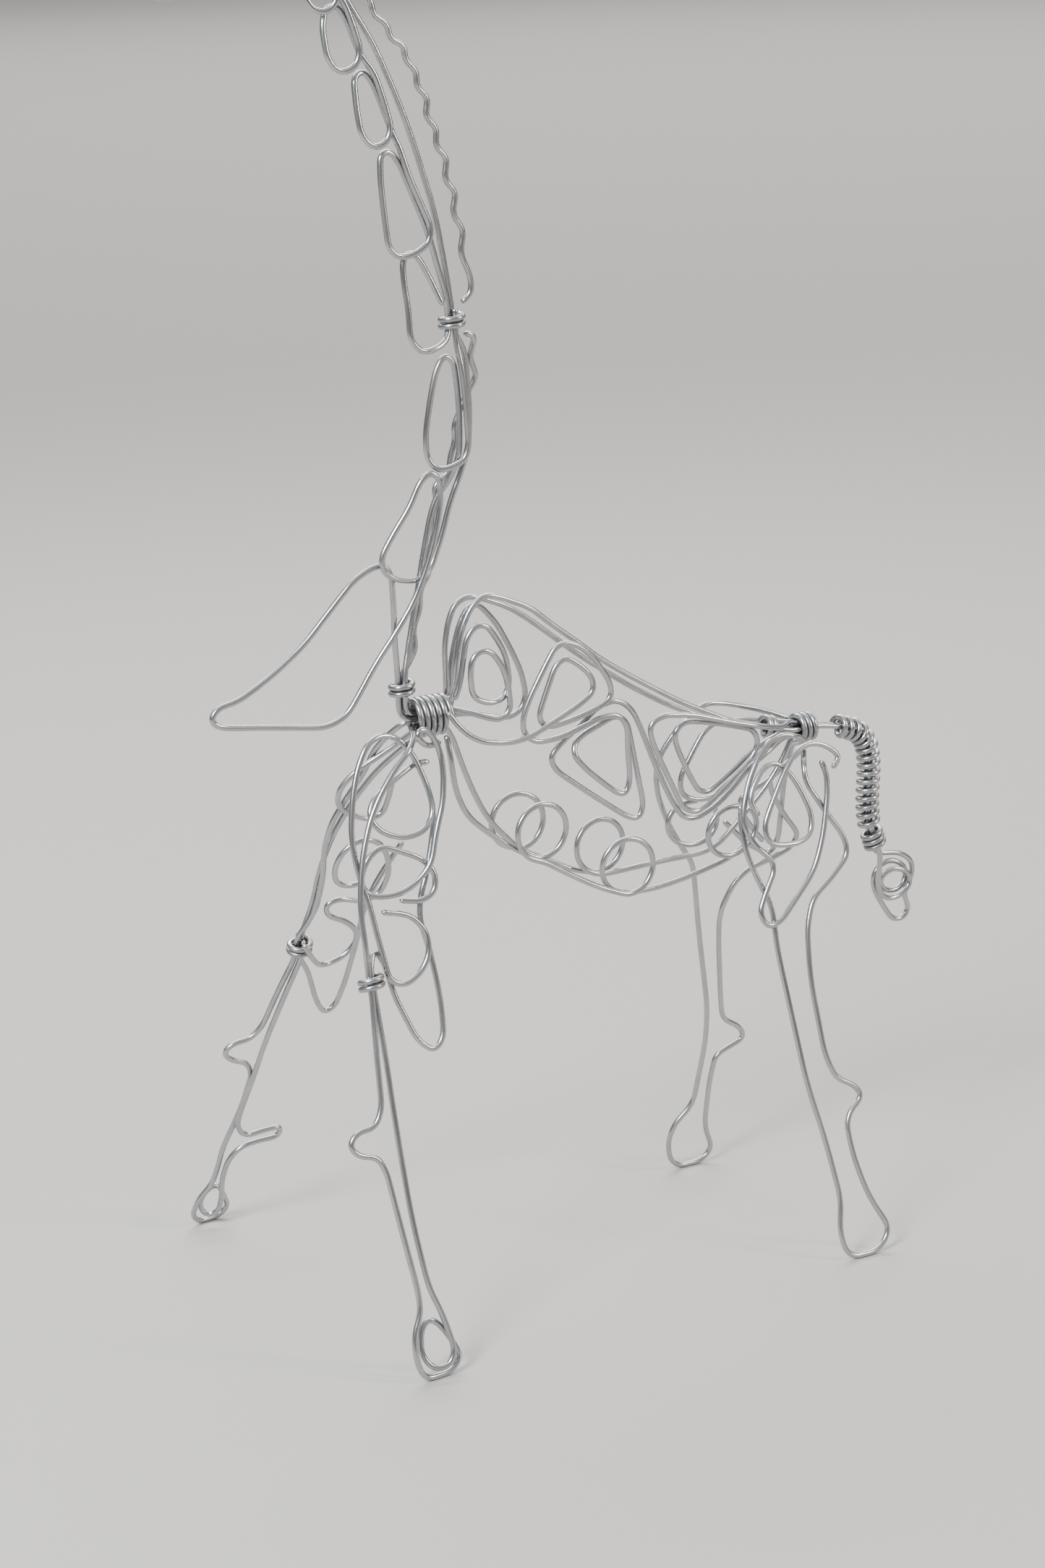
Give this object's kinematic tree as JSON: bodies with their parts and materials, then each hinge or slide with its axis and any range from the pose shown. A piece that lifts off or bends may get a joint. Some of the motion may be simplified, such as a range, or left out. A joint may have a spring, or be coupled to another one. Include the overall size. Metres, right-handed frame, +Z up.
{
  "type": "wire giraffe statuette",
  "caption": "Standing giraffe bent from round galvanised wire, with open spots, looped neck and wound tail.",
  "frame": {"origin": "under the middle of the whole giraffe's box, on the plane the four hooves stand on", "axes": "+Z up, the head looks along -X, the near flank faces -Y"},
  "size_m": [0.356, 0.1936, 0.6164],
  "materials": {
    "wire": "dull galvanised",
    "wraps": "dull galvanised, slightly darker between the turns"
  },
  "bodies": {
    "root": {"back_binding": "wraps", "far_back_wire": "wire", "far_belly_wire": "wire", "far_cheek": "wire", "far_ear": "wire", "far_eye": "wire", "far_flank_spot": "wire", "far_fore_flap": "wire", "far_fore_leg": "wire", "far_forearm_spots": "wire", "far_hind_leg": "wire", "far_horn": "wire", "far_knee_binding": "wraps", "far_shoulder_spot": "wire", "far_thigh_strut": "wire", "far_thigh_wire": "wire", "far_third_ring": "wire", "far_withers_spot": "wire", "head_binding": "wraps", "head_profile": "wire", "lower_mane": "wire", "lower_throat_loops": "wire", "near_back_wire": "wire", "near_belly_wire": "wire", "near_cheek": "wire", "near_ear": "wire", "near_eye": "wire", "near_flank_spot": "wire", "near_flank_triangles": "wire", "near_fore_leg": "wire", "near_forearm_spot": "wire", "near_hind_leg": "wire", "near_horn": "wire", "near_knee_binding": "wraps", "near_shoulder_spots": "wire", "near_thigh_loop": "wire", "near_thigh_spot": "wire", "near_third_ring": "wire", "near_withers_spot": "wire", "neck_binding": "wraps", "neck_foot_binding": "wraps", "nose_band": "wraps", "rump_binding": "wraps", "shoulder_binding": "wraps", "spine_wire": "wire", "tail_end_binding": "wraps", "tail_winding": "wraps", "upper_mane": "wire", "upper_throat_loops": "wire"}
  },
  "joints": []
}
